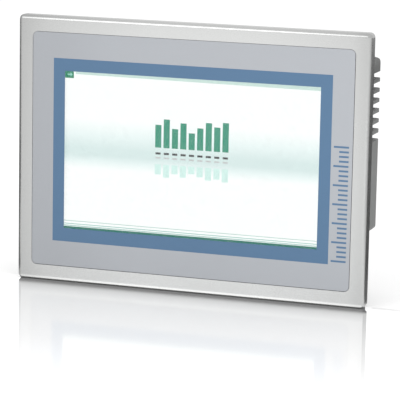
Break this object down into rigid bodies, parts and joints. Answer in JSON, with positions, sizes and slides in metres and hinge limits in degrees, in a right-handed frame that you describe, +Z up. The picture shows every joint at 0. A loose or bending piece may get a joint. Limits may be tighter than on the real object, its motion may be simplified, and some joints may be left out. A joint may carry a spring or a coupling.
{
  "type": "hmi touch panel",
  "caption": "Panel-mount operator display: metal front frame with a touch window, and a vented rear housing with clamping jacks and connectors along its underside.",
  "frame": {"origin": "centre of the mounting plane, where the gasket's rear face meets the control cabinet's panel", "axes": "+Y points from the front into the cabinet, +Z up, +X to the right seen from the front"},
  "size_m": [0.212, 0.049, 0.156],
  "materials": {
    "cast_frame": "fine satin, clear anodised",
    "cast_housing": "fine-textured grey paint on die-cast aluminium",
    "foil_grey": "smooth matt polyester foil",
    "foil_blue": "smooth matt printed foil",
    "clear_film": "clear satin film",
    "glass": "clear, polished",
    "screen": "lit display surface",
    "light_guide": "clear acrylic",
    "sheet_steel": "zinc-plated sheet",
    "screw_steel": "zinc-plated",
    "jack_zinc": "cast, as-cast satin",
    "brass": "plated",
    "rubber_black": "matt closed-cell foam",
    "board_green": "solder mask",
    "chip_black": "moulded epoxy",
    "plastic_black": "moulded",
    "plastic_green": "moulded polyamide",
    "plastic_ivory": "moulded",
    "plastic_blue": "moulded",
    "sink_aluminium": "extruded, anodised",
    "pad_pink": "soft silicone pad",
    "polyimide": "flexible circuit",
    "label_white": "blank polyester label"
  },
  "bodies": {
    "panel": {"front_frame": "cast_frame", "mounting_gasket": "rubber_black", "decor_foil": "foil_grey", "window_border": "foil_blue", "touch_film": "clear_film", "touch_glass": "glass", "touch_tail": "polyimide", "touch_foam": "rubber_black", "lcd_bezel": "sheet_steel", "lcd_glass": "screen", "diffuser_films": "light_guide", "light_guide": "light_guide", "led_strip": "plastic_ivory", "lcd_tray": "sheet_steel", "lcd_flex": "polyimide", "display_bracket": "sheet_steel", "display_screws": "screw_steel", "board_standoffs": "brass", "main_board": "board_green", "board_screws": "screw_steel", "processor": "chip_black", "thermal_pad": "pad_pink", "heat_sink": "sink_aluminium", "memory_chips": "chip_black", "board_components": "chip_black", "cell_holder": "plastic_black", "coin_cell": "screw_steel", "buzzer": "plastic_black", "flex_sockets": "plastic_ivory", "power_header": "plastic_green", "power_pins": "brass", "serial_shells": "sheet_steel", "serial_inserts": "plastic_blue", "serial_nuts": "screw_steel", "usb_device_port": "sheet_steel", "usb_host_port": "sheet_steel", "ethernet_jack": "sheet_steel", "ethernet_contacts": "brass", "card_socket": "sheet_steel", "rear_housing": "cast_housing", "housing_screws": "screw_steel", "earth_screw": "brass", "earth_washer": "screw_steel", "type_plate": "label_white"},
    "jack_1": {"jack_spiral_1": "jack_zinc", "jack_screw_1": "screw_steel"},
    "jack_2": {"jack_spiral_2": "jack_zinc", "jack_screw_2": "screw_steel"},
    "jack_3": {"jack_spiral_3": "jack_zinc", "jack_screw_3": "screw_steel"},
    "jack_4": {"jack_spiral_4": "jack_zinc", "jack_screw_4": "screw_steel"},
    "power_plug": {"power_plug": "plastic_green"},
    "plug_screw_1": {"plug_screw_1": "screw_steel"},
    "wire_clamp_1": {"wire_clamp_1": "brass"},
    "plug_screw_2": {"plug_screw_2": "screw_steel"},
    "wire_clamp_2": {"wire_clamp_2": "brass"},
    "plug_screw_3": {"plug_screw_3": "screw_steel"},
    "wire_clamp_3": {"wire_clamp_3": "brass"},
    "memory_card": {"memory_card": "plastic_blue"}
  },
  "joints": [
    {"name": "jack_1_turn", "type": "hinge", "parent": "panel", "child": "jack_1", "pos_m": [-0.062, 0.0055, 0.0655], "axis": [0, -1, 0], "range_deg": [0, 220]},
    {"name": "jack_2_turn", "type": "hinge", "parent": "panel", "child": "jack_2", "pos_m": [0.062, 0.0055, 0.0655], "axis": [0, -1, 0], "range_deg": [0, 220]},
    {"name": "jack_3_turn", "type": "hinge", "parent": "panel", "child": "jack_3", "pos_m": [-0.062, 0.0055, -0.0655], "axis": [0, -1, 0], "range_deg": [0, 220]},
    {"name": "jack_4_turn", "type": "hinge", "parent": "panel", "child": "jack_4", "pos_m": [0.062, 0.0055, -0.0655], "axis": [0, -1, 0], "range_deg": [0, 220]},
    {"name": "power_plug_pull", "type": "slide", "parent": "panel", "child": "power_plug", "axis": [0, 0, -1], "range_m": [0, 0.012]},
    {"name": "plug_screw_1_turn", "type": "hinge", "parent": "power_plug", "child": "plug_screw_1", "pos_m": [-0.08808, 0.0293, -0.0492], "axis": [0, -1, 0], "range_deg": [0, 1081]},
    {"name": "wire_clamp_1_rise", "type": "slide", "parent": "power_plug", "child": "wire_clamp_1", "axis": [0, 1, 0], "range_m": [0, 0.0015]},
    {"name": "plug_screw_2_turn", "type": "hinge", "parent": "power_plug", "child": "plug_screw_2", "pos_m": [-0.083, 0.0293, -0.0492], "axis": [0, -1, 0], "range_deg": [0, 1081]},
    {"name": "wire_clamp_2_rise", "type": "slide", "parent": "power_plug", "child": "wire_clamp_2", "axis": [0, 1, 0], "range_m": [0, 0.0015]},
    {"name": "plug_screw_3_turn", "type": "hinge", "parent": "power_plug", "child": "plug_screw_3", "pos_m": [-0.07792, 0.0293, -0.0492], "axis": [0, -1, 0], "range_deg": [0, 1081]},
    {"name": "wire_clamp_3_rise", "type": "slide", "parent": "power_plug", "child": "wire_clamp_3", "axis": [0, 1, 0], "range_m": [0, 0.0015]},
    {"name": "memory_card_slide", "type": "slide", "parent": "panel", "child": "memory_card", "axis": [0, 0, -1], "range_m": [0, 0.034]}
  ],
  "couplings": [
    {"joint": "plug_screw_1_turn", "follows": "wire_clamp_1_rise", "rad_per_m": 12566},
    {"joint": "plug_screw_2_turn", "follows": "wire_clamp_2_rise", "rad_per_m": 12566},
    {"joint": "plug_screw_3_turn", "follows": "wire_clamp_3_rise", "rad_per_m": 12566}
  ]
}
